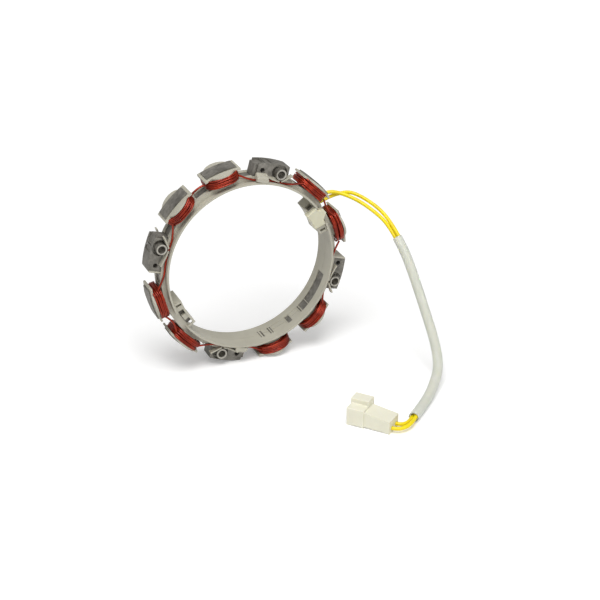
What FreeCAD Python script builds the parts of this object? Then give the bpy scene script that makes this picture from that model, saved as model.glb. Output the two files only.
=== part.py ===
"""Wound stator for a flywheel alternator: a stack of steel stampings in a two-piece moulded
insulator, with eight coils, four mounting lugs with spacer tubes, and a two-wire output lead.

Units are millimetres. The ring is built lying flat, its axis on +Z and its wire-link side up,
and is then stood on its edge: that side faces -Y, and the floor is z = 0. Angles run from +X
counter-clockwise, looking at the wire-link side. On a pole or a lug, "across" is the distance
clockwise from its centre line, and "height" is the distance from the middle of the stack.
"""
import FreeCAD, Part
import math
import os

# ---- stampings ----
LAMINATION_COUNT = 15
LAMINATION_THICKNESS = 0.76
YOKE_INNER_R = 54.7
YOKE_OUTER_R = 57.4
POLE_FACE_R = 66.3
SHOE_THICKNESS = 1.3
SHOE_HALF_WIDTH = 10.0
NECK_HALF_WIDTH = 5.5
TAB_INNER_R = 49.4

# ---- where things sit round the ring ----
POLE_ANGLES = (135, 105, 45, 15, 315, 285, 225, 195)
LUG_ANGLES = (75, 345, 255, 165)
TAB_ANGLES = (209.3, 27.3)
SUPPORT_HALF_PITCH = 15.0

# ---- mounting lugs ----
LUG_HOLE_END = 10.0
LUG_TUBE_END = 11.3
LUG_NOTCHED_END = 12.0
LUG_STEP_DEPTH = 0.95
LUG_STEP_START = 6.4
LUG_RELIEF_DEPTH = 0.6
LUG_RELIEF = (0.8, 4.6)
LUG_GROOVE = (5.2, 6.0)
LUG_GROOVE_DEPTH = 1.7
PLAIN_END_LAMINATIONS = 2
BOLT_CIRCLE_R = 61.0
BOLT_OFFSET_DEG = -4.89
PIN_CIRCLE_R = 61.7
PIN_OFFSET_DEG = 6.05
PIN_HOLE_R = 1.5

# ---- spacer tubes ----
TUBE_OUTER_R = 3.35
TUBE_BORE_R = 2.4
TUBE_STANDS_PROUD = 3.4
TUBE_RECESS_R = 5.2
RECESSED_LAMINATIONS = 3
RECESS_EDGE = 0.4

# ---- moulded insulator ----
BORE_R = 54.1
RIM_OUTER_R = 55.3
RIM_OVERHANG = 5.0
SHELF_THICKNESS = 1.0
SKIRT_THICKNESS = 0.6
SKIRT_WRAP = 2.3
BOBBIN_WALL = 0.8
BOBBIN_OVERHANG = 1.5
BOBBIN_CORNER_R = 4.0
FLANGE_UNDER_SHOE = 0.75
FLANGE_HALF_WIDTH = 11.8
FLANGE_OVERHANG = 1.8
FLANGE_BELOW_FACE = 0.8
LOBE_R = 8.8
LOBE_OVERHANG = 5.8
HALF_GAP = 0.2
BLOCK_INNER_R = 48.8
BLOCK_HALF_ANGLE = 10.5
BLOCK_OVERHANG = 3.0
WALL_THICKNESS = 0.9
WALL_STANDS_PROUD = 3.5
PIN_SIDE_WALL = ((59.0, -5.6), (57.2, 0.2), (56.3, 4.9))
TUBE_SIDE_WALL = ((56.4, 6.3), (60.8, 13.0))
SHEATH_THICKNESS = 0.8
SHEATH_OUTER_R = 64.8
CLIP_INNER_R = 55.0
CLIP_OUTER_R = 59.7
CLIP_ACROSS = (-10.6, -2.8)
CLIP_SHOULDER = 1.6
CLIP_CORNER_R = 1.2
CLIPPED_LUGS = (75, 255)
WINDOW_HALF_LENGTH = 4.2
WINDOW_STEP_R = 54.3
SLOT_OFFSET = 2.2
SLOT_HALF_ANGLE = 0.85
SLOT_DEPTH = 2.2
POCKET_START = -4.3
POCKET_END_WALL = 1.5

# ---- coils and link wires ----
COIL_BUILD = 4.2
MAGNET_WIRE_D = 1.2
LINK_RING_R = 56.05
LINK_CLEARANCE = 0.15
SHORT_LINK_HEIGHT = 2.7

# ---- clearances ----
STEEL_FIT = 0.05
COIL_FIT = 0.08
SLEEVE_FIT = 0.2

# ---- output leads, splices and sleeve ----
LEAD_D = 2.4
LEAD_HALF_SPREAD = 1.35
LEAD_SPREAD_DIRECTION = (-0.555, 0.641, -0.531)
SLEEVE_WALL = 0.35
ARC_SHARE_OF_RUN = 0.45
EXIT_ANGLE = 30.0
COVER_INNER_R = 46.3
COVER_HEIGHT = 2.5
COVER_WALL = 0.8
NOSE_DEPTH = 3.4
NOSE_OUTLINE = ((53.4, 8.3), (57.3, 6.0), (57.8, 2.7), (54.3, -0.2), (53.4, -1.0))
FERRULE_R = 0.85
FERRULE_LENGTH = 6.0

# ---- connector ----
CONNECTOR_LENGTH = 27.5
CONNECTOR_WIRE_END = (44.5, -123.2)
CONNECTOR_HEADING_DEG = -50.27
COLLAR_LENGTH = 11.0
COLLAR_HALF_WIDTH = 7.0
COLLAR_TOP = 11.5
BODY_HALF_WIDTH = 6.35
TERMINAL_HALF_PITCH = 3.0
TERMINAL_HEIGHT = 2.9
TERMINAL_BOX = 3.4
TERMINAL_BOX_LENGTH = 12.0
TERMINAL_WALL = 0.4
TERMINAL_FIT = 0.1

# ---- worked out from the sizes above ----
SLEEVE_BORE = 2 * LEAD_HALF_SPREAD + LEAD_D + 2 * SLEEVE_FIT
SLEEVE_OUTER_D = SLEEVE_BORE + 2 * SLEEVE_WALL
STACK_HALF = LAMINATION_COUNT * LAMINATION_THICKNESS / 2
SHELF_TOP = STACK_HALF + STEEL_FIT + SHELF_THICKNESS
RIM_TOP = STACK_HALF + RIM_OVERHANG
SKIRT_R = YOKE_OUTER_R + STEEL_FIT
COIL_BASE_R = SKIRT_R + SKIRT_THICKNESS
SHOE_INNER_R = POLE_FACE_R - SHOE_THICKNESS
FLANGE_TOP_R = SHOE_INNER_R - STEEL_FIT
FLANGE_BOTTOM_R = FLANGE_TOP_R - FLANGE_UNDER_SHOE
BOBBIN_HALF_WIDTH = NECK_HALF_WIDTH + STEEL_FIT + BOBBIN_WALL
BOBBIN_HALF_LENGTH = STACK_HALF + BOBBIN_OVERHANG
LINK_HEIGHT = SHELF_TOP + LINK_CLEARANCE + MAGNET_WIRE_D / 2
SUPPORT_ANGLE = math.radians(SUPPORT_HALF_PITCH) - math.asin(SHOE_HALF_WIDTH / POLE_FACE_R)
AXIS_HEIGHT = POLE_FACE_R * math.cos(SUPPORT_ANGLE)

X_AXIS = FreeCAD.Vector(1, 0, 0)
Z_AXIS = FreeCAD.Vector(0, 0, 1)
CENTRE = FreeCAD.Vector(0, 0, 0)


# ---- building blocks, round the flat ring ----
def ring(inner, outer, low, high):
    """An annulus about the ring's axis."""
    base = FreeCAD.Vector(0, 0, low)
    outside = Part.makeCylinder(outer, high - low, base)
    return outside.cut(Part.makeCylinder(inner, high - low, base))


def sector(inner, outer, start, end, low, high):
    """A piece of an annulus from one angle to another."""
    base = FreeCAD.Vector(0, 0, low)
    wedge = Part.makeCylinder(outer, high - low, base, Z_AXIS, end - start)
    wedge = wedge.cut(Part.makeCylinder(inner, high - low, base))
    wedge.rotate(CENTRE, Z_AXIS, start)
    return wedge


def block(inner, outer, across_low, across_high, low, high):
    """A box on the pole at angle 0: radial, across and axial limits."""
    size = (outer - inner, across_high - across_low, high - low)
    return Part.makeBox(*size, FreeCAD.Vector(inner, -across_high, low))


def prism(outline, low, high):
    """An upright prism on the pole at angle 0, from (radius, across) corners."""
    corners = [FreeCAD.Vector(radius, -across, low) for radius, across in outline]
    face = Part.Face(Part.makePolygon(corners + corners[:1]))
    return face.extrude(FreeCAD.Vector(0, 0, high - low))


def rounded_block(inner, outer, half_width, half_length, corner):
    """A radial bar on the pole at angle 0 whose section has rounded corners."""
    bar = block(inner, outer, -half_width, half_width, -half_length, half_length)
    edges = [e for e in bar.Edges if abs(e.tangentAt(e.FirstParameter).x) > 0.99]
    return bar.makeFillet(corner, edges)


def post(radius, circle_r, angle, low, high):
    """A cylinder parallel to the axis, on a circle round it."""
    turn = math.radians(angle)
    base = FreeCAD.Vector(circle_r * math.cos(turn), circle_r * math.sin(turn), low)
    return Part.makeCylinder(radius, high - low, base)


def at_angle(shape, angle):
    """A copy of a shape, turned round the ring's axis."""
    turned = shape.copy()
    turned.rotate(CENTRE, Z_AXIS, angle)
    return turned


def joined(shapes):
    """One clean solid from shapes that overlap."""
    return shapes[0].fuse(shapes[1:]).removeSplitter()


def point(radius, angle, height):
    """A place on the flat ring, from its radius, angle and height."""
    turn = math.radians(angle)
    return FreeCAD.Vector(radius * math.cos(turn), radius * math.sin(turn), height)


# ---- tubes along a route of straight runs and tangent arcs ----
def route_wire(points):
    """The path through a list of points, and the radius of each of its arcs."""
    edges = []
    radii = []
    last = points[0]
    for before, corner, after in zip(points, points[1:], points[2:]):
        to_corner = corner - before
        from_corner = after - corner
        half_turn = to_corner.getAngle(from_corner) / 2
        reach = ARC_SHARE_OF_RUN * min(to_corner.Length, from_corner.Length)
        radii.append(reach / math.tan(half_turn))
        start = corner - to_corner.normalize() * reach
        end = corner + from_corner.normalize() * reach
        inward = (start + end) * 0.5 - corner
        inward.normalize()
        middle = corner + inward * (radii[-1] / math.cos(half_turn) - radii[-1])
        edges.append(Part.LineSegment(last, start).toShape())
        edges.append(Part.Arc(start, middle, end).toShape())
        last = end
    edges.append(Part.LineSegment(last, points[-1]).toShape())
    return Part.Wire(edges), radii


def rod(points, diameter):
    """A round rod along a route, and the route's path and arc radii."""
    path, radii = route_wire(points)
    heading = points[1] - points[0]
    profile = Part.Wire([Part.Edge(Part.Circle(points[0], heading, diameter / 2))])
    return path.makePipeShell([profile], True, False), path, radii


# ---- steel ----
def bolt_angle(lug_angle):
    """Where a lug's spacer tube stands."""
    return lug_angle + BOLT_OFFSET_DEG


def notched_side(lug_angle):
    """+1 where the lug's tube end is the notched one, and -1 where its pin-hole end is."""
    return 1 if lug_angle in (345, 165) else -1


def lug_outline(lug_angle, plain):
    """The solid part of one lug's stamping, between heights 0 and one lamination."""
    side = notched_side(lug_angle)
    hole_end = LUG_HOLE_END
    tube_end = LUG_TUBE_END
    if not plain and side < 0:
        hole_end = LUG_NOTCHED_END
    if not plain and side > 0:
        tube_end = LUG_NOTCHED_END
    top = LAMINATION_THICKNESS
    lug = block(YOKE_OUTER_R - 1, POLE_FACE_R + 1, -hole_end, tube_end, 0, top)
    lug = lug.common(ring(YOKE_OUTER_R - 1, POLE_FACE_R, 0, top))
    if plain:
        return lug
    outside = POLE_FACE_R + 2
    for start, end, depth in (
        (LUG_STEP_START, LUG_NOTCHED_END + 1, LUG_STEP_DEPTH),
        (LUG_RELIEF[0], LUG_RELIEF[1], LUG_RELIEF_DEPTH),
        (LUG_GROOVE[0], LUG_GROOVE[1], LUG_GROOVE_DEPTH),
    ):
        low, high = sorted((side * start, side * end))
        strip = block(POLE_FACE_R - 4, outside, low, high, 0, top)
        lug = lug.cut(strip.common(ring(POLE_FACE_R - depth, outside, 0, top)))
    return lug


def lamination(plain, recessed):
    """One stamping with its lower face at height 0."""
    top = LAMINATION_THICKNESS
    pieces = [ring(YOKE_INNER_R, YOKE_OUTER_R, 0, top)]
    half = SHOE_HALF_WIDTH
    neck = block(YOKE_OUTER_R - 1, SHOE_INNER_R + 0.5, -NECK_HALF_WIDTH, NECK_HALF_WIDTH, 0, top)
    shoe = block(SHOE_INNER_R - 2, POLE_FACE_R + 1, -half, half, 0, top)
    pole = neck.fuse(shoe.common(ring(SHOE_INNER_R, POLE_FACE_R, 0, top)))
    pieces += [at_angle(pole, angle) for angle in POLE_ANGLES]
    pieces += [at_angle(lug_outline(angle, plain), angle) for angle in LUG_ANGLES]
    for angle in TAB_ANGLES:
        reach = BLOCK_HALF_ANGLE - 2
        pieces.append(sector(TAB_INNER_R, YOKE_INNER_R + 0.5, angle - reach, angle + reach, 0, top))
    sheet = joined(pieces)
    for angle in LUG_ANGLES:
        sheet = sheet.cut(post(PIN_HOLE_R, PIN_CIRCLE_R, angle + PIN_OFFSET_DEG, 0, top))
        hole = post(TUBE_OUTER_R + STEEL_FIT, BOLT_CIRCLE_R, bolt_angle(angle), 0, top)
        if recessed:
            recess = post(TUBE_RECESS_R, BOLT_CIRCLE_R, bolt_angle(angle), 0, top)
            limit = POLE_FACE_R - RECESS_EDGE - (0 if plain else LUG_GROOVE_DEPTH)
            hole = hole.fuse(recess.common(ring(COIL_BASE_R, limit, 0, top)))
        sheet = sheet.cut(hole)
    return sheet


def laminations():
    """The whole stack, numbered from the wire-link side."""
    kinds = {}
    stack = {}
    for number in range(1, LAMINATION_COUNT + 1):
        from_end = min(number, LAMINATION_COUNT + 1 - number)
        kind = (from_end <= PLAIN_END_LAMINATIONS, from_end <= RECESSED_LAMINATIONS)
        if kind not in kinds:
            kinds[kind] = lamination(*kind)
        sheet = kinds[kind].copy()
        sheet.translate(FreeCAD.Vector(0, 0, STACK_HALF - number * LAMINATION_THICKNESS))
        stack[f"lamination_{number:02d}"] = sheet
    return stack


def spacer_tube(lug_angle):
    """The steel tube that a mounting screw clamps through a lug."""
    end = STACK_HALF + TUBE_STANDS_PROUD
    place = (BOLT_CIRCLE_R, bolt_angle(lug_angle), -end, end)
    return post(TUBE_OUTER_R, *place).cut(post(TUBE_BORE_R, *place))


# ---- insulator ----
def bobbin(low):
    """The upper half of one pole's bobbin, at angle 0: tube, base and outer flange."""
    tube = rounded_block(
        SKIRT_R, FLANGE_TOP_R, BOBBIN_HALF_WIDTH, BOBBIN_HALF_LENGTH, BOBBIN_CORNER_R
    )
    base = block(YOKE_OUTER_R - 2, COIL_BASE_R + 1, -11.0, 11.0, low, SHELF_TOP)
    base = base.common(ring(SKIRT_R, COIL_BASE_R, low, SHELF_TOP))
    flange_end = STACK_HALF + FLANGE_OVERHANG
    half = FLANGE_HALF_WIDTH
    plate = block(FLANGE_BOTTOM_R - 3, POLE_FACE_R, -half, half, low, flange_end)
    lobe_centre = STACK_HALF + LOBE_OVERHANG - LOBE_R
    lobe_base = FreeCAD.Vector(FLANGE_BOTTOM_R - 3, 0, lobe_centre)
    lobe = Part.makeCylinder(LOBE_R, POLE_FACE_R - FLANGE_BOTTOM_R + 3, lobe_base, X_AXIS)
    lobe_top = lobe_centre + LOBE_R + 1
    flange = plate.fuse(lobe).common(
        ring(FLANGE_BOTTOM_R, POLE_FACE_R - FLANGE_BELOW_FACE, low, lobe_top)
    )
    pocket_half = SHOE_HALF_WIDTH + STEEL_FIT
    pocket_top = STACK_HALF + STEEL_FIT
    pocket = block(FLANGE_TOP_R - 3, POLE_FACE_R, -pocket_half, pocket_half, 0, pocket_top)
    pocket = pocket.common(ring(FLANGE_TOP_R, POLE_FACE_R, 0, pocket_top))
    neck_half = NECK_HALF_WIDTH + STEEL_FIT
    neck = block(YOKE_OUTER_R - 3, POLE_FACE_R, -neck_half, neck_half, 0, pocket_top)
    whole = tube.fuse([base, flange]).cut(pocket).cut(neck)
    keep = block(YOKE_INNER_R, POLE_FACE_R + 1, -20, 20, low, lobe_top)
    return whole.common(keep)


def wall_strip(start, end, low, high):
    """A thin upright wall between two (radius, across) places on the lug at angle 0."""
    run = (end[0] - start[0], end[1] - start[1])
    length = math.hypot(*run)
    side = (-run[1] / length * WALL_THICKNESS / 2, run[0] / length * WALL_THICKNESS / 2)
    corners = [
        (start[0] + side[0], start[1] + side[1]),
        (end[0] + side[0], end[1] + side[1]),
        (end[0] - side[0], end[1] - side[1]),
        (start[0] - side[0], start[1] - side[1]),
    ]
    return prism(corners, low, high)


def lug_walls():
    """The V of two thin walls under one lug's spacer tube, at angle 0."""
    low = STACK_HALF + STEEL_FIT
    high = STACK_HALF + WALL_STANDS_PROUD
    start, bend, end = PIN_SIDE_WALL
    overlap = 0.2
    past_bend = (bend[0], bend[1] - overlap)
    pin_side = joined([wall_strip(start, bend, low, high), wall_strip(past_bend, end, low, high)])
    return pin_side, wall_strip(*TUBE_SIDE_WALL, low, high)


def lug_sheath(low):
    """The plastic over the plain pin-hole end of a lug, at angle 0."""
    inner = LUG_HOLE_END + STEEL_FIT
    root = math.sqrt(SKIRT_R ** 2 - inner ** 2)
    return block(root, SHEATH_OUTER_R, -inner - SHEATH_THICKNESS, -inner, low, SHELF_TOP)


def wire_clip():
    """The rounded bridge that holds the link wires beside a lug's pin hole, at angle 0."""
    low = STACK_HALF + STEEL_FIT
    high = RIM_TOP + 0.3
    edge = CLIP_OUTER_R - 1.7
    outline = [(CLIP_INNER_R, low), (CLIP_OUTER_R, low), (CLIP_OUTER_R, low + CLIP_SHOULDER),
               (edge, high - 0.5), (edge - 0.6, high), (CLIP_INNER_R, high)]
    start, end = CLIP_ACROSS
    corners = [FreeCAD.Vector(radius, -end, height) for radius, height in outline]
    face = Part.Face(Part.makePolygon(corners + corners[:1]))
    clip = face.extrude(FreeCAD.Vector(0, end - start, 0))
    upright = [e for e in clip.Edges if abs(e.tangentAt(e.FirstParameter).y) < 0.01]
    soft = [e for e in upright if e.BoundBox.XMax > edge - 0.5 and e.BoundBox.ZMax > low + 0.1]
    return clip.makeFillet(CLIP_CORNER_R, soft)


def windows(low, high):
    """Recesses in the lining of the bore: (start, end, floor radius) each."""
    through = YOKE_INNER_R
    step = WINDOW_STEP_R
    cuts = [
        (319.1, 342.0, through), (313.1, 318.7, through), (311.4, 312.3, through),
        (303.4, 310.6, step), (300.0, 303.4, through), (288.8, 299.2, step),
        (287.4, 288.1, through), (285.7, 286.6, through),
        (280.3, 281.3, through), (278.6, 279.1, through),
    ]
    return [sector(BORE_R - 1, floor, start, end, low, high) for start, end, floor in cuts]


def tab_block(angle, low, face_detail):
    """The block on the bore over one steel tab, and the pocket cut into its face."""
    start = angle - BLOCK_HALF_ANGLE
    end = angle + BLOCK_HALF_ANGLE
    top = STACK_HALF + BLOCK_OVERHANG
    body = sector(BLOCK_INNER_R, BORE_R + 0.4, start, end, low, top)
    cuts = []
    tab_top = STACK_HALF + STEEL_FIT
    play = 0.1
    reach = BLOCK_HALF_ANGLE - 2 + play
    cuts.append(sector(
        TAB_INNER_R - STEEL_FIT, YOKE_INNER_R + 1, angle - reach, angle + reach, 0, tab_top
    ))
    adds = []
    if face_detail:
        pocket = (angle + POCKET_START, end - POCKET_END_WALL)
        cuts.append(sector(TAB_INNER_R + 0.6, 53.4, *pocket, tab_top, top + 1))
        cuts.append(sector(BORE_R - 2, RIM_OUTER_R + 1, *pocket, SHELF_TOP, RIM_TOP + 1))
        slot = start + SLOT_OFFSET
        slot_ends = (slot - SLOT_HALF_ANGLE, slot + SLOT_HALF_ANGLE)
        cuts.append(sector(49.7, 53.2, *slot_ends, top - SLOT_DEPTH, top + 1))
        mouth = (end - 1.9, end + 1)
        cuts.append(sector(TAB_INNER_R + 0.3, 53.6, *mouth, 1.2, top - 1.0))
        adds.append(sector(BLOCK_INNER_R, 53.0, angle + 0.1, angle + 4.2, tab_top, top - 0.5))
    return body, cuts, adds


def insulator(near):
    """One half of the moulded insulator, as if on the upper side of the stack."""
    low = HALF_GAP / 2
    steel_top = STACK_HALF + STEEL_FIT
    lining_outer = YOKE_INNER_R - STEEL_FIT
    pieces = [
        ring(BORE_R, lining_outer, low, SHELF_TOP),
        ring(BORE_R, COIL_BASE_R, steel_top, SHELF_TOP),
        ring(BORE_R, RIM_OUTER_R, steel_top, RIM_TOP),
        ring(SKIRT_R, COIL_BASE_R, STACK_HALF - SKIRT_WRAP, SHELF_TOP),
    ]
    cuts = []
    adds = []
    for angle in TAB_ANGLES:
        body, block_cuts, block_adds = tab_block(angle, low, near)
        pieces.append(body)
        cuts += block_cuts
        adds += block_adds
    for angle in LUG_ANGLES:
        half = LUG_NOTCHED_END + 2 * STEEL_FIT
        root = block(BORE_R, POLE_FACE_R, -half, half, 0, steel_top)
        root = root.common(ring(SKIRT_R - 0.5, POLE_FACE_R, 0, steel_top))
        cuts.append(at_angle(root, angle))
    for angle in POLE_ANGLES:
        half = NECK_HALF_WIDTH + STEEL_FIT
        neck = block(SKIRT_R - 0.5, SKIRT_R + 1, -half, half, 0, steel_top)
        cuts.append(at_angle(neck, angle))
    cuts += windows(low - 1, WINDOW_HALF_LENGTH)
    body = joined(pieces).cut(cuts)
    shape_adds = adds + [at_angle(bobbin(low), angle) for angle in POLE_ANGLES]
    channel = ring(RIM_OUTER_R, LINK_RING_R + 1.0, SHELF_TOP, LINK_HEIGHT + 1.0)
    for angle in LUG_ANGLES:
        for wall in lug_walls():
            shape_adds.append(at_angle(wall.cut(channel), angle))
        if notched_side(angle) > 0:
            shape_adds.append(at_angle(lug_sheath(low), angle))
    if near:
        for angle in CLIPPED_LUGS:
            shape_adds.append(at_angle(wire_clip().cut(channel), angle))
    else:
        shape_adds.append(lead_exit())
    body = joined([body] + shape_adds)
    for angle in LUG_ANGLES:
        body = body.cut(
            post(TUBE_OUTER_R + 0.1, BOLT_CIRCLE_R, bolt_angle(angle), 0, RIM_TOP + 1)
        )
    if near:
        return body
    return body.mirror(CENTRE, Z_AXIS)


def lead_exit():
    """The raised guide on the far half that both output leads come out of."""
    guide = block(BORE_R + 0.5, 60.2, -4.1, 4.1, STACK_HALF + STEEL_FIT, RIM_TOP + 0.8)
    return at_angle(guide, EXIT_ANGLE)


# ---- coils and link wires ----
def coil(pole_angle):
    """The copper of one coil: a ring of rounded section that fits on its bobbin."""
    inner = (BOBBIN_HALF_WIDTH + COIL_FIT, BOBBIN_HALF_LENGTH + COIL_FIT)
    corner = BOBBIN_CORNER_R + COIL_FIT
    outer = (inner[0] + COIL_BUILD, inner[1] + COIL_BUILD)
    low = COIL_BASE_R - 3
    high = FLANGE_BOTTOM_R + 1
    winding = rounded_block(low, high, *outer, corner + COIL_BUILD)
    winding = winding.cut(rounded_block(low, high, *inner, corner))
    room = ring(COIL_BASE_R + COIL_FIT, FLANGE_BOTTOM_R - COIL_FIT, -outer[1], outer[1])
    return at_angle(winding.common(room), pole_angle)


def coil_side_angle(radius, height):
    """How far round from its pole a coil's side lies, at a radius and a height."""
    half_width = BOBBIN_HALF_WIDTH + COIL_FIT + COIL_BUILD
    half_length = BOBBIN_HALF_LENGTH + COIL_FIT + COIL_BUILD
    corner = BOBBIN_CORNER_R + COIL_FIT + COIL_BUILD
    past_flat = max(0.0, abs(height) - (half_length - corner))
    side = half_width - corner + math.sqrt(corner ** 2 - past_flat ** 2)
    return math.degrees(math.asin(side / radius))


def link_routes():
    """The magnet wires between coils: name, then (radius, angle, height) places."""
    leave = coil_side_angle(61.0, LINK_HEIGHT)
    routes = {}
    for name, start, end in (
        ("link_wire_1", 135, 195), ("link_wire_2", 105, 45),
        ("link_wire_3", 15, -45), ("link_wire_4", 225, 285),
    ):
        way = 1 if end > start else -1
        places = [(61.0, start + way * leave), (58.0, start + way * 13.5)]
        places += [(LINK_RING_R, start + way * reach) for reach in (18.5, 26, 34, 41.5)]
        places += [(58.0, end - way * 13.5), (61.0, end - way * leave)]
        routes[name] = [(radius, angle, LINK_HEIGHT) for radius, angle in places]
    for name, start, end, middle_r, height in (
        ("link_wire_5", 45, 15, 60.2, LINK_HEIGHT), ("link_wire_6", 195, 225, 59.8, LINK_HEIGHT),
        ("link_wire_7", 135, 105, 62.4, SHORT_LINK_HEIGHT),
    ):
        way = 1 if end > start else -1
        leave = coil_side_angle(61.6, height)
        routes[name] = [
            (61.6, start + way * leave, height),
            (middle_r, start + way * 13.0, height),
            (middle_r, end - way * 13.0, height),
            (61.6, end - way * leave, height),
        ]
    return routes


# ---- splices and their cover ----
def splice_cover():
    """The moulded cover over the splices, on the block inside the bore."""
    angle = TAB_ANGLES[1]
    start = angle - 4
    end = angle + BLOCK_HALF_ANGLE - 0.5
    seat = STACK_HALF + BLOCK_OVERHANG + STEEL_FIT
    top = seat + COVER_HEIGHT
    outer = BORE_R - STEEL_FIT
    lip = BLOCK_INNER_R - STEEL_FIT
    shell = sector(COVER_INNER_R, outer, start, end, seat, top)
    lid_edges = [e for e in shell.Edges if e.BoundBox.ZMin > top - 0.01]
    shell = shell.makeFillet(0.8, lid_edges)
    shell = shell.fuse(sector(COVER_INNER_R, lip, start, end, seat - 2.0, seat + 0.1))
    nose_low = top - NOSE_DEPTH
    corners = [point(radius, angle + reach, nose_low) for radius, reach in NOSE_OUTLINE]
    face = Part.Face(Part.makePolygon(corners + corners[:1]))
    nose = face.extrude(FreeCAD.Vector(0, 0, NOSE_DEPTH))
    nose = nose.makeFillet(0.5, [e for e in nose.Edges if e.BoundBox.ZMin > top - 0.01])
    spread = math.degrees(COVER_WALL / BORE_R)
    hollow = sector(
        lip, outer - COVER_WALL, start + spread, end - spread, seat - 1, top - COVER_WALL
    )
    return joined([shell, nose]).cut(hollow)


def splice_ferrule(radius):
    """A crimped ferrule lying under the cover."""
    angle = TAB_ANGLES[1] + 3.0
    middle = STACK_HALF + BLOCK_OVERHANG + FERRULE_R
    turn = math.radians(angle)
    along = FreeCAD.Vector(-math.sin(turn), math.cos(turn), 0)
    base = point(radius, angle, middle) - along * FERRULE_LENGTH / 2
    return Part.makeCylinder(FERRULE_R, FERRULE_LENGTH, base, along)


# ---- output leads, standing frame: x, y and height above the floor ----
SHARED_ROUTE = [
    (91.0, -20.5, 82.2), (94.6, -32.7, 69.8), (95.8, -42.7, 58.2), (97.2, -56.7, 40.4),
    (98.4, -68.2, 25.0), (98.0, -75.7, 14.7), (94.5, -83.2, 9.0), (87.8, -91.0, 5.4),
    (78.9, -100.9, 3.4), (69.2, -110.4, 3.2), (62.6, -116.4, 3.2),
]
# The starts' heights are measured from the ring's axis.
LEAD_STARTS = (
    [(50.8, 9.2, 30.65), (58.6, 9.6, 34.45), (67.4, 6.8, 33.25), (77.3, -2.2, 29.15),
     (86.1, -13.7, 21.85)],
    [(51.4, 8.6, 27.25), (59.0, 9.2, 29.95), (67.1, 10.8, 30.95), (74.1, 6.3, 33.25),
     (81.3, -1.1, 30.05), (88.5, -10.5, 24.25)],
)
LEAD_TAILS = (
    [(53.9, -122.9, 2.5), (48.7, -123.6, 2.9)],
    [(54.6, -126.0, 3.4), (48.6, -128.0, 2.9), (43.9, -127.1, 2.9)],
)
SLEEVE_START = (92.6, -26.0, 76.6)
SLEEVE_END = (59.4, -119.5, 3.2)


def connector_place(along, across, up):
    """A place on the connector, in the standing frame."""
    turn = math.radians(CONNECTOR_HEADING_DEG)
    back = CONNECTOR_LENGTH - along
    return FreeCAD.Vector(
        CONNECTOR_WIRE_END[0] - back * math.cos(turn) - across * math.sin(turn),
        CONNECTOR_WIRE_END[1] - back * math.sin(turn) + across * math.cos(turn),
        up,
    )


def lead_route(which):
    """The whole route of lead 0 or 1, from its guide to the connector."""
    side = 1 if which == 0 else -1
    shift = FreeCAD.Vector(*LEAD_SPREAD_DIRECTION) * (side * LEAD_HALF_SPREAD)
    lift = FreeCAD.Vector(0, 0, AXIS_HEIGHT)
    route = [FreeCAD.Vector(*place) + lift for place in LEAD_STARTS[which]]
    route += [FreeCAD.Vector(*place) + shift for place in SHARED_ROUTE]
    route += [FreeCAD.Vector(*place) for place in LEAD_TAILS[which]]
    route.append(connector_place(CONNECTOR_LENGTH, side * TERMINAL_HALF_PITCH, TERMINAL_HEIGHT))
    return route


def sleeve():
    """The clear sleeve over both leads."""
    places = [SLEEVE_START] + SHARED_ROUTE[1:] + [SLEEVE_END]
    route = [FreeCAD.Vector(*place) for place in places]
    outside, path, radii = rod(route, SLEEVE_OUTER_D)
    inside = rod(route, SLEEVE_BORE)[0]
    return outside.cut(inside), path, radii


# ---- connector ----
def placed_connector(shape):
    """A connector shape, moved from its own frame (along, across, up) to its place."""
    shape.rotate(CENTRE, Z_AXIS, CONNECTOR_HEADING_DEG)
    shape.translate(connector_place(0, 0, 0))
    return shape


def side_profile(corners, half_width):
    """A prism across the connector, from (along, up) corners."""
    places = [FreeCAD.Vector(along, -half_width, up) for along, up in corners]
    face = Part.Face(Part.makePolygon(places + places[:1]))
    return face.extrude(FreeCAD.Vector(0, 2 * half_width, 0))


def terminal(side):
    """A crimped socket terminal: a hollow box, and the barrel that grips its lead."""
    half = TERMINAL_BOX / 2
    wall = TERMINAL_WALL
    across = side * TERMINAL_HALF_PITCH
    start = 1.5
    low = FreeCAD.Vector(start, across - half, TERMINAL_HEIGHT - half)
    box = Part.makeBox(TERMINAL_BOX_LENGTH, 2 * half, 2 * half, low)
    inner = Part.makeBox(
        TERMINAL_BOX_LENGTH - 1, 2 * (half - wall), 2 * (half - wall),
        low + FreeCAD.Vector(0, wall, wall),
    )
    end = start + TERMINAL_BOX_LENGTH
    barrel = Part.makeCylinder(
        LEAD_D / 2, CONNECTOR_LENGTH - end + 0.5,
        FreeCAD.Vector(end - 0.5, across, TERMINAL_HEIGHT), X_AXIS,
    )
    return placed_connector(joined([box.cut(inner), barrel]))


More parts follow.
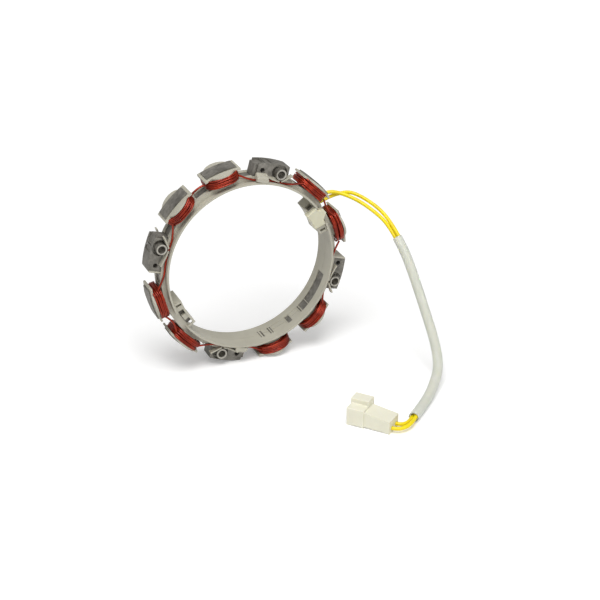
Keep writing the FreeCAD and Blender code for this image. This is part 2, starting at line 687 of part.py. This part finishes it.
def connector_housing():
    """The two-way housing: collar, latch block and tapered body, with its cavities."""
    collar = Part.makeBox(
        COLLAR_LENGTH, 2 * COLLAR_HALF_WIDTH, COLLAR_TOP, FreeCAD.Vector(0, -COLLAR_HALF_WIDTH, 0)
    )
    latch = Part.makeBox(COLLAR_LENGTH + 0.5, 8.0, 13.5, FreeCAD.Vector(-0.5, 0, 1.0))
    shape = collar.fuse(latch).removeSplitter()
    long_edges = [e for e in shape.Edges if abs(e.tangentAt(e.FirstParameter).x) > 0.99]
    shape = shape.makeFillet(0.6, [e for e in long_edges if e.BoundBox.ZMax > 2])
    length = CONNECTOR_LENGTH
    body = side_profile([(8, 1.0), (24, 0.6), (25, 0), (length, 0), (length, 8.0), (8, 10.7)],
                        BODY_HALF_WIDTH)
    shape = joined([shape, body])
    shape = shape.cut(side_profile([(-1, -1), (9.5, -1), (9.5, 0.6), (3, 0.6), (2.4, 0), (-1, 0)], 9))
    half = TERMINAL_BOX / 2 + TERMINAL_FIT
    for side in (1, -1):
        across = side * TERMINAL_HALF_PITCH
        cavity_end = 1.5 + TERMINAL_BOX_LENGTH + TERMINAL_FIT
        low = FreeCAD.Vector(-1, across - half, TERMINAL_HEIGHT - half)
        shape = shape.cut(Part.makeBox(cavity_end + 1, 2 * half, 2 * half, low))
        base = FreeCAD.Vector(cavity_end - 1, across, TERMINAL_HEIGHT)
        shape = shape.cut(Part.makeCylinder(LEAD_D / 2 + TERMINAL_FIT, length, base, X_AXIS))
    return placed_connector(shape)


# ---- standing the ring up and writing the pieces ----
def standing(shape):
    """A ring piece turned up on its edge, at its height above the floor."""
    shape.rotate(CENTRE, X_AXIS, 90)
    shape.translate(FreeCAD.Vector(0, 0, AXIS_HEIGHT))
    return shape


def report(name, shape, path, radii, diameter, bore=0.0):
    """Print a cord's length, tightest arcs and how true its volume is."""
    section = math.pi * (diameter ** 2 - bore ** 2) / 4
    ratio = shape.Volume / (section * path.Length)
    tight = ", ".join(f"{radius:.1f}" for radius in radii)
    print(f"{name}: length {path.Length:.1f}, volume ratio {ratio:.4f}, radii {tight}")


def main():
    os.makedirs("parts", exist_ok=True)
    pieces = laminations()
    pieces["insulator_near"] = insulator(True)
    far = insulator(False)
    for number, lug_angle in enumerate(LUG_ANGLES, 1):
        pieces[f"spacer_tube_{number}"] = spacer_tube(lug_angle)
    for number, pole_angle in enumerate(POLE_ANGLES, 1):
        pieces[f"coil_{number}"] = coil(pole_angle)
    for name, places in link_routes().items():
        pieces[name] = rod([point(*place) for place in places], MAGNET_WIRE_D)[0]
    pieces["splice_cover"] = splice_cover()
    pieces["splice_ferrule_1"] = splice_ferrule(49.95)
    pieces["splice_ferrule_2"] = splice_ferrule(51.95)
    for name in pieces:
        pieces[name] = standing(pieces[name])

    far = standing(far)
    for which in (0, 1):
        route = lead_route(which)
        name = f"lead_wire_{which + 1}"
        pieces[name], path, radii = rod(route, LEAD_D)
        report(name, pieces[name], path, radii, LEAD_D)
        heading = route[1] - route[0]
        far = far.cut(Part.makeCylinder(LEAD_D / 2 + STEEL_FIT, 12, route[0], heading))
    pieces["insulator_far"] = far
    pieces["lead_sleeve"], path, radii = sleeve()
    report("lead_sleeve", pieces["lead_sleeve"], path, radii, SLEEVE_OUTER_D, SLEEVE_BORE)
    pieces["connector_housing"] = connector_housing()
    pieces["terminal_1"] = terminal(1)
    pieces["terminal_2"] = terminal(-1)

    for name, shape in pieces.items():
        if len(shape.Solids) != 1 or not shape.isValid():
            print(f"{name}: {len(shape.Solids)} solids, valid {shape.isValid()}")
        shape.exportStep(f"parts/{name}.step")
    print(f"{len(pieces)} nodes written, axis at height {AXIS_HEIGHT:.2f}")


main()
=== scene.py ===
"""The look of a wound alternator stator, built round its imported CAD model.

Everything is in metres, in the part's own frame: the ring stands on its edge at the origin with
its wire-link side facing -Y, and its leads run forward to a connector on the floor.
"""
import math
import random

import bpy
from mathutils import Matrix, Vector


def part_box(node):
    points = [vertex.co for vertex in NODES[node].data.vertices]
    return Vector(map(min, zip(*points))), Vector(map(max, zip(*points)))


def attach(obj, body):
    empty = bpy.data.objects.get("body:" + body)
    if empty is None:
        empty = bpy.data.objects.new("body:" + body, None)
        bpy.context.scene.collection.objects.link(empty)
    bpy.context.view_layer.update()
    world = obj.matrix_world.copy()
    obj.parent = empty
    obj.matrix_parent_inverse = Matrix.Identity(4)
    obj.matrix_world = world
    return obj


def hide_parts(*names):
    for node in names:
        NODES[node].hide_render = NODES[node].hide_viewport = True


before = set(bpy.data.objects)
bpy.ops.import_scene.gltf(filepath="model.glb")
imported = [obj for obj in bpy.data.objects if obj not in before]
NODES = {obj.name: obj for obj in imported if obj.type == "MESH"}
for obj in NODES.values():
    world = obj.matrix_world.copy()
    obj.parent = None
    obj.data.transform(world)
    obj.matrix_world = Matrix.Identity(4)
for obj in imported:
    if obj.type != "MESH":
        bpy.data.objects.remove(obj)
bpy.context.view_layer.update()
MM = 0.001

# ---- the ring, from the frame ----
stack_low, stack_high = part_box("lamination_08")
AXIS_Z = (stack_low.z + stack_high.z) / 2

POLE_ANGLES = (135, 105, 45, 15, 315, 285, 225, 195)


def ring_point(radius, angle, height, across=0.0):
    """A place on the ring in metres, from millimetres: its radius, angle, height and offset."""
    turn = math.radians(angle)
    x = radius * math.cos(turn) + across * math.sin(turn)
    z = radius * math.sin(turn) - across * math.cos(turn)
    return Vector((x * MM, -height * MM, AXIS_Z + z * MM))


def ring_object(name, points, faces):
    """A mesh piece from vertices and faces."""
    mesh = bpy.data.meshes.new(name)
    mesh.from_pydata([tuple(p) for p in points], [], faces)
    mesh.update()
    piece = bpy.data.objects.new(name, mesh)
    bpy.context.scene.collection.objects.link(piece)
    return piece


def smooth(piece):
    """Smooth shading all over."""
    for polygon in piece.data.polygons:
        polygon.use_smooth = True
    return piece


# ---- materials ----
def new_material(name):
    """A new node material, with its tree and its shader."""
    material = bpy.data.materials.new(name)
    material.use_nodes = True
    tree = material.node_tree
    shader = tree.nodes["Principled BSDF"]
    return material, tree, shader


def node(tree, kind, **values):
    """A shader node with its properties and inputs set by name."""
    made = tree.nodes.new(kind)
    for key, value in values.items():
        if key in made.inputs:
            made.inputs[key].default_value = value
        else:
            setattr(made, key, value)
    return made


def ramp(tree, source, stops):
    """A colour ramp on a 0 to 1 value, from (place, colour) stops."""
    made = tree.nodes.new("ShaderNodeValToRGB")
    band = made.color_ramp
    while len(band.elements) < len(stops):
        band.elements.new(0.5)
    for element, (place, colour) in zip(band.elements, stops):
        element.position = place
        element.color = (*colour, 1.0)
    tree.links.new(source, made.inputs["Fac"])
    return made.outputs["Color"]


def mixed(tree, factor, first, second, mode="MIX"):
    """Two colours mixed by a factor."""
    made = tree.nodes.new("ShaderNodeMix")
    made.data_type = "RGBA"
    made.blend_type = mode
    for socket, value in zip((made.inputs[0], made.inputs[6], made.inputs[7]),
                             (factor, first, second)):
        if isinstance(value, bpy.types.NodeSocket):
            tree.links.new(value, socket)
        elif isinstance(value, tuple):
            socket.default_value = (*value, 1.0)
        else:
            socket.default_value = value
    return made.outputs[2]


def noise(tree, scale, detail=3.0, roughness=0.55, stretch=None):
    """A noise value over the object's own space, stretched along an axis if asked."""
    place = node(tree, "ShaderNodeTexCoord").outputs["Object"]
    if stretch:
        mapping = node(tree, "ShaderNodeMapping")
        mapping.inputs["Scale"].default_value = stretch
        tree.links.new(place, mapping.inputs["Vector"])
        place = mapping.outputs["Vector"]
    made = node(tree, "ShaderNodeTexNoise", Scale=scale, Detail=detail, Roughness=roughness)
    tree.links.new(place, made.inputs["Vector"])
    return made.outputs["Fac"]


def bump(tree, shader, height, strength, distance, edge=0.0):
    """Feed a height into the shader's normal, over softened edges if a radius is given."""
    made = node(tree, "ShaderNodeBump", Strength=strength, Distance=distance)
    tree.links.new(height, made.inputs["Height"])
    if edge:
        soft = node(tree, "ShaderNodeBevel", samples=4, Radius=edge)
        tree.links.new(soft.outputs["Normal"], made.inputs["Normal"])
    tree.links.new(made.outputs["Normal"], shader.inputs["Normal"])


def plastic(name, colour, shade, rough, subsurface=0.0, edge=0.0002):
    """Moulded plastic: two close tones, a fine grain and softened edges."""
    material, tree, shader = new_material(name)
    tone = ramp(tree, noise(tree, 60, 4), [(0.3, shade), (0.7, colour)])
    tree.links.new(tone, shader.inputs["Base Color"])
    shader.inputs["Roughness"].default_value = rough
    shader.inputs["Subsurface Weight"].default_value = subsurface
    shader.inputs["Subsurface Radius"].default_value = (1.0, 0.9, 0.6)
    shader.inputs["Subsurface Scale"].default_value = 0.0015
    bump(tree, shader, noise(tree, 2500, 2), 0.08, 0.0001, edge)
    return material


def steel(name, dark, light, rough, metallic=0.85):
    """Dull stamped steel with mottling and a little rust-brown in its darker places."""
    material, tree, shader = new_material(name)
    tone = ramp(tree, noise(tree, 350, 6, 0.65), [(0.3, dark), (0.65, light)])
    stain = ramp(tree, noise(tree, 90, 4), [(0.52, (0.0, 0.0, 0.0)), (0.75, (1.0, 1.0, 1.0))])
    colour = mixed(tree, stain, tone, tuple(0.8 * c for c in dark))
    tree.links.new(colour, shader.inputs["Base Color"])
    shader.inputs["Metallic"].default_value = metallic
    shader.inputs["Roughness"].default_value = rough
    bump(tree, shader, noise(tree, 1800, 4), 0.15, 0.00005)
    return material


def enamel(name):
    """Copper under deep red-orange enamel."""
    material, tree, shader = new_material(name)
    tones = [(0.3, (0.17, 0.010, 0.002)), (0.7, (0.40, 0.030, 0.004))]
    tone = ramp(tree, noise(tree, 220, 3), tones)
    tree.links.new(tone, shader.inputs["Base Color"])
    shader.inputs["Metallic"].default_value = 0.55
    shader.inputs["Roughness"].default_value = 0.3
    shader.inputs["Coat Weight"].default_value = 0.2
    shader.inputs["Coat Roughness"].default_value = 0.15
    shader.inputs["Coat Tint"].default_value = (1.0, 0.6, 0.35, 1.0)
    bump(tree, shader, noise(tree, 900, 2), 0.08, 0.0001)
    return material


def lead_cover(name):
    """Bright yellow flexible insulation."""
    material, tree, shader = new_material(name)
    tone = ramp(tree, noise(tree, 120, 3), [(0.3, (0.80, 0.62, 0.0)), (0.7, (0.90, 0.74, 0.0))])
    tree.links.new(tone, shader.inputs["Base Color"])
    shader.inputs["Roughness"].default_value = 0.38
    shader.inputs["Subsurface Weight"].default_value = 0.1
    shader.inputs["Subsurface Scale"].default_value = 0.001
    bump(tree, shader, noise(tree, 700, 2), 0.1, 0.0001)
    return material


def clear_tubing(name):
    """Milky flexible tubing that lets the leads show through faintly."""
    material, tree, shader = new_material(name)
    tone = ramp(tree, noise(tree, 150, 3), [(0.3, (0.86, 0.89, 0.80)), (0.7, (0.93, 0.94, 0.88))])
    tree.links.new(tone, shader.inputs["Base Color"])
    shader.inputs["Roughness"].default_value = 0.3
    shader.inputs["Transmission Weight"].default_value = 0.45
    shader.inputs["IOR"].default_value = 1.3
    bump(tree, shader, noise(tree, 500, 2), 0.1, 0.0001)
    return material


# The insulator and splice-cover nylons are darker copies of the natural nylon, their lower tones
# painted shade.
SHADED_NYLON = plastic("nylon_painted_shade", (0.47, 0.45, 0.37), (0.40, 0.38, 0.31), 0.5, 0.1)
COVER_SHADED_NYLON = plastic("cover_nylon_painted_shade", (0.62, 0.60, 0.46), (0.56, 0.54, 0.40), 0.35, 0.25)
NATURAL = plastic("natural_nylon", (0.82, 0.80, 0.66), (0.76, 0.74, 0.60), 0.35, 0.25)
LAMINATION = steel("lamination_steel", (0.13, 0.122, 0.105), (0.27, 0.255, 0.225), 0.55, 0.45)
TUBE = steel("tube_steel", (0.30, 0.28, 0.24), (0.50, 0.48, 0.43), 0.38, 0.8)
TINNED = steel("tinned_brass", (0.50, 0.46, 0.36), (0.66, 0.62, 0.52), 0.35, 1.0)
ENAMEL = enamel("enamelled_copper")
YELLOW = lead_cover("yellow_insulation")
CLEAR = clear_tubing("clear_tubing")


def finish_node(name, material):
    """Give a CAD node its material."""
    mesh = NODES[name].data
    mesh.materials.clear()
    mesh.materials.append(material)


for name in NODES:
    for start, material in (
        ("lamination", LAMINATION), ("insulator", SHADED_NYLON), ("spacer", TUBE), ("coil", ENAMEL),
        ("link", ENAMEL), ("splice_cover", COVER_SHADED_NYLON), ("splice_ferrule", TINNED),
        ("lead_wire", YELLOW), ("lead_sleeve", CLEAR), ("connector", NATURAL),
        ("terminal", TINNED),
    ):
        if name.startswith(start):
            finish_node(name, material)

# ---- coils, wound turn by turn ----
COIL_HALF_WIDTH = 10.55
COIL_HALF_LENGTH = 11.4
COIL_CORNER = 8.2
COIL_INNER_R = 58.75
COIL_OUTER_R = 63.55
TURN_ROWS = 5
TURN_LAYERS = 3
TURN_RADIUS = 0.57
TURN_STEPS = 64
TURN_SIDES = 10
LAYER_STEP = 1.12
TURN_TILT = 0.35
TURN_SWAY = 0.22
SIDE_BULGE = 1.1
WINDING_SEED = 40


def turn_line(angle, radius, shrink, rng):
    """One closed turn of wire round a pole, with a hand-wound wander."""
    half_width = COIL_HALF_WIDTH - shrink - TURN_RADIUS
    half_length = COIL_HALF_LENGTH - shrink - TURN_RADIUS
    corner = COIL_CORNER - shrink
    tilt = rng.uniform(-TURN_TILT, TURN_TILT)
    sway = [rng.uniform(-TURN_SWAY, TURN_SWAY) for _ in range(4)]
    line = []
    for step in range(TURN_STEPS):
        turn = 2 * math.pi * step / TURN_STEPS
        c, s = math.cos(turn), math.sin(turn)
        across = math.copysign(max(0.0, half_width - corner), c) + corner * c
        height = math.copysign(max(0.0, half_length - corner), s) + corner * s
        if across < 0:
            across *= 1 + SIDE_BULGE / half_width * (1 - shrink / 4)
        wave = sum(a * math.sin((k + 1) * turn + 7 * a) for k, a in enumerate(sway))
        place_r = radius + tilt * s + wave
        place_r = min(max(place_r, COIL_INNER_R), COIL_OUTER_R)
        out = 1 + 0.012 * math.sin(2 * turn + 9 * sway[0]) + 0.01 * sway[1]
        line.append(ring_point(place_r, angle, height * out, across * out))
    return line


def make_winding(number, angle):
    """All the turns of one coil as one mesh."""
    rng = random.Random(WINDING_SEED + number)
    points, faces = [], []
    for layer in range(TURN_LAYERS):
        rows = TURN_ROWS - (layer % 2)
        gap = (COIL_OUTER_R - COIL_INNER_R) / (TURN_ROWS - 1)
        for row in range(rows):
            radius = COIL_INNER_R + gap * (row + 0.5 * (layer % 2))
            line = turn_line(angle, radius, LAYER_STEP * layer, rng)
            tube_mesh(line, TURN_RADIUS * MM, TURN_SIDES, points, faces, closed=True)
    winding = smooth(ring_object(f"winding_{number}", points, faces))
    winding.data.materials.append(ENAMEL)
    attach(winding, "root")
    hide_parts(f"coil_{number}")


# ---- output leads, the same routes as the CAD model's, in metres ----
LEAD_D = 2.4 * MM
LEAD_HALF_SPREAD = 1.35 * MM
SPREAD_DIRECTION = Vector((-0.555, 0.641, -0.531))
SHARED_ROUTE = [
    (0.0910, -0.0205, 0.0822), (0.0946, -0.0327, 0.0698), (0.0958, -0.0427, 0.0582),
    (0.0972, -0.0567, 0.0404), (0.0984, -0.0682, 0.0250), (0.0980, -0.0757, 0.0147),
    (0.0945, -0.0832, 0.0090), (0.0878, -0.0910, 0.0054), (0.0789, -0.1009, 0.0034),
    (0.0692, -0.1104, 0.0032), (0.0626, -0.1164, 0.0032),
]
LEAD_STARTS = (
    [(0.0508, 0.0092, 0.09655), (0.0586, 0.0096, 0.10035), (0.0674, 0.0068, 0.09915),
     (0.0773, -0.0022, 0.09505), (0.0861, -0.0137, 0.08775)],
    [(0.0514, 0.0086, 0.09315), (0.0590, 0.0092, 0.09585), (0.0671, 0.0108, 0.09685),
     (0.0741, 0.0063, 0.09915), (0.0813, -0.0011, 0.09595), (0.0885, -0.0105, 0.09015)],
)
LEAD_TAILS = (
    [(0.0539, -0.1229, 0.0025), (0.0487, -0.1236, 0.0029), (0.0468, -0.1213, 0.0029)],
    [(0.0546, -0.1260, 0.0034), (0.0486, -0.1280, 0.0029), (0.0439, -0.1271, 0.0029),
     (0.0422, -0.1251, 0.0029)],
)
SLEEVE_START = (0.0926, -0.0260, 0.0766)
SLEEVE_END = (0.0594, -0.1195, 0.0032)
SLEEVE_D = 6.2 * MM
SLEEVE_WALL = 0.35 * MM
SLEEVE_SIDES = 40


def nurbs(name, points, bevel):
    """A smooth curve piece with the given control points."""
    data = bpy.data.curves.new(name, "CURVE")
    data.dimensions = "3D"
    data.resolution_u = 12
    data.bevel_depth = bevel
    data.bevel_resolution = 6
    data.use_fill_caps = True
    spline = data.splines.new("NURBS")
    spline.points.add(len(points) - 1)
    for control, place in zip(spline.points, points):
        control.co = (*place, 1.0)
    spline.order_u = 3
    spline.use_endpoint_u = True
    piece = bpy.data.objects.new(name, data)
    bpy.context.scene.collection.objects.link(piece)
    return piece


def curve_points(points):
    """Points along the smooth line through a set of control points."""
    bare = nurbs("line", points, 0.0)
    bpy.context.view_layer.update()
    mesh = bpy.data.meshes.new_from_object(bare)
    line = [v.co.copy() for v in mesh.vertices]
    data = bare.data
    bpy.data.objects.remove(bare)
    bpy.data.curves.remove(data)
    bpy.data.meshes.remove(mesh)
    return line


def line_length(line):
    """The length of a run of points."""
    return sum((b - a).length for a, b in zip(line, line[1:]))


def frames_along(line, closed=False):
    """A side and an up direction at each point, turning as little as they can."""
    count = len(line)
    tangents = []
    for i in range(count):
        if closed:
            step = line[(i + 1) % count] - line[i - 1]
        else:
            step = line[min(i + 1, count - 1)] - line[max(i - 1, 0)]
        tangents.append(step.normalized())
    side = tangents[0].orthogonal().normalized()
    made = []
    for tangent in tangents:
        side = (side - tangent * side.dot(tangent)).normalized()
        made.append((side, tangent.cross(side)))
    return made


def tube_mesh(line, radius, sides, points, faces, closed=False, flip=False):
    """Add a tube along a line to lists of points and faces."""
    base = len(points)
    count = len(line)
    for place, (side, up) in zip(line, frames_along(line, closed)):
        for k in range(sides):
            turn = 2 * math.pi * k / sides
            points.append(place + (side * math.cos(turn) + up * math.sin(turn)) * radius)
    for i in range(count if closed else count - 1):
        for k in range(sides):
            a = base + i * sides + k
            b = base + i * sides + (k + 1) % sides
            c = base + ((i + 1) % count) * sides + (k + 1) % sides
            d = base + ((i + 1) % count) * sides + k
            faces.append((a, d, c, b) if flip else (a, b, c, d))
    return base, base + (count - 1) * sides


def make_sleeve():
    """The hollow tubing round both leads."""
    line = curve_points([SLEEVE_START] + SHARED_ROUTE[1:] + [SLEEVE_END])
    points, faces = [], []
    sides = SLEEVE_SIDES
    outer = tube_mesh(line, SLEEVE_D / 2, sides, points, faces)
    inner = tube_mesh(line, SLEEVE_D / 2 - SLEEVE_WALL, sides, points, faces, flip=True)
    for end in (0, 1):
        for k in range(sides):
            following = (k + 1) % sides
            ring = (outer[end] + k, outer[end] + following,
                    inner[end] + following, inner[end] + k)
            faces.append(ring if end else ring[::-1])
    sleeve = smooth(ring_object("clear_sleeve", points, faces))
    sleeve.data.materials.append(CLEAR)
    return sleeve, line


for coil_number, coil_angle in enumerate(POLE_ANGLES, 1):
    make_winding(coil_number, coil_angle)

sleeve, sleeve_line = make_sleeve()
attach(sleeve, "root")
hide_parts("lead_sleeve")

for which, side in ((0, 1), (1, -1)):
    shift = SPREAD_DIRECTION * side * LEAD_HALF_SPREAD
    route = [Vector(p) for p in LEAD_STARTS[which]]
    route += [Vector(p) + shift for p in SHARED_ROUTE]
    route += [Vector(p) for p in LEAD_TAILS[which]]
    lead = nurbs(f"yellow_lead_{which + 1}", route, LEAD_D / 2)
    lead.data.materials.append(YELLOW)
    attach(lead, "root")
    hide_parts(f"lead_wire_{which + 1}")
    length = line_length(curve_points(route))
    print(lead.name, "length", round(length, 4))

print("sleeve length", round(line_length(sleeve_line), 4))

# ---- floor, lights and camera ----
# The floor's glow, seen by the camera only, is painted light: it lifts the floor to white where
# the lamps fall off and is weaker near the ring so its cast shadows show.
AMBIENT = 0.42
FLOOR_GLOW = 0.62
FLOOR_GLOW_NEAR = 0.17
FLOOR_GLOW_REACH = (0.15, 0.75)
FLOOR_HALF = 4
floor_mesh = bpy.data.meshes.new("floor")
floor_sides = ((-1, -1), (1, -1), (1, 1), (-1, 1))
floor_corners = [(x * FLOOR_HALF, y * FLOOR_HALF, 0) for x, y in floor_sides]
floor_mesh.from_pydata(floor_corners, [], [(0, 1, 2, 3)])
floor = bpy.data.objects.new("floor", floor_mesh)
bpy.context.scene.collection.objects.link(floor)
floor_material, floor_tree, floor_shader = new_material("white_floor")
floor_shader.inputs["Emission Color"].default_value = (1, 1, 1, 1)
floor_path = node(floor_tree, "ShaderNodeLightPath")
floor_glow = node(floor_tree, "ShaderNodeMath", operation="MULTIPLY")
floor_tree.links.new(floor_path.outputs["Is Camera Ray"], floor_glow.inputs[0])
floor_place = node(floor_tree, "ShaderNodeTexCoord")
floor_far = node(floor_tree, "ShaderNodeVectorMath", operation="LENGTH")
floor_tree.links.new(floor_place.outputs["Object"], floor_far.inputs[0])
floor_reach = node(floor_tree, "ShaderNodeMapRange")
floor_tree.links.new(floor_far.outputs["Value"], floor_reach.inputs["Value"])
floor_reach.inputs["From Min"].default_value = FLOOR_GLOW_REACH[0]
floor_reach.inputs["From Max"].default_value = FLOOR_GLOW_REACH[1]
floor_reach.inputs["To Min"].default_value = FLOOR_GLOW_NEAR
floor_reach.inputs["To Max"].default_value = FLOOR_GLOW
floor_tree.links.new(floor_reach.outputs["Result"], floor_glow.inputs[1])
floor_tree.links.new(floor_glow.outputs[0], floor_shader.inputs["Emission Strength"])
floor_shader.inputs["Base Color"].default_value = (0.95, 0.95, 0.95, 1)
floor_shader.inputs["Roughness"].default_value = 0.6
floor_mesh.materials.append(floor_material)

world = bpy.data.worlds.new("studio")
bpy.context.scene.world = world
world.use_nodes = True
sky = world.node_tree
sky.nodes["Background"].inputs["Color"].default_value = (1, 1, 1, 1)
sky.nodes["Background"].inputs["Strength"].default_value = AMBIENT
white = node(sky, "ShaderNodeBackground", Color=(1, 1, 1, 1), Strength=1.0)
path = node(sky, "ShaderNodeLightPath")
either = node(sky, "ShaderNodeMixShader")
sky.links.new(path.outputs["Is Camera Ray"], either.inputs[0])
sky.links.new(sky.nodes["Background"].outputs[0], either.inputs[1])
sky.links.new(white.outputs[0], either.inputs[2])
sky.links.new(either.outputs[0], sky.nodes["World Output"].inputs["Surface"])


def area_light(name, place, target, size, power):
    """A square soft light aimed at a place."""
    light = bpy.data.lights.new(name, "AREA")
    light.size = size
    light.energy = power
    lamp = bpy.data.objects.new(name, light)
    lamp.location = place
    lamp.rotation_euler = (Vector(target) - Vector(place)).to_track_quat("-Z", "Y").to_euler()
    bpy.context.scene.collection.objects.link(lamp)


area_light("overhead", (-0.15, -0.35, 0.95), (0.02, -0.03, 0.05), 0.6, 7.2)
area_light("front", (0.25, -0.95, 0.45), (0.0, 0.0, 0.06), 0.5, 1.6)

camera_data = bpy.data.cameras.new("camera")
camera_data.lens = 86.64
camera_data.sensor_width = 36.0
camera_data.clip_start = 0.01
camera = bpy.data.objects.new("camera", camera_data)
camera.location = (-0.2909, -0.7763, 0.3683 + AXIS_Z)
camera.rotation_euler = (math.radians(64.474), 0.0, math.radians(-22.885))
bpy.context.scene.collection.objects.link(camera)
bpy.context.scene.camera = camera
bpy.context.scene.view_settings.view_transform = "Standard"
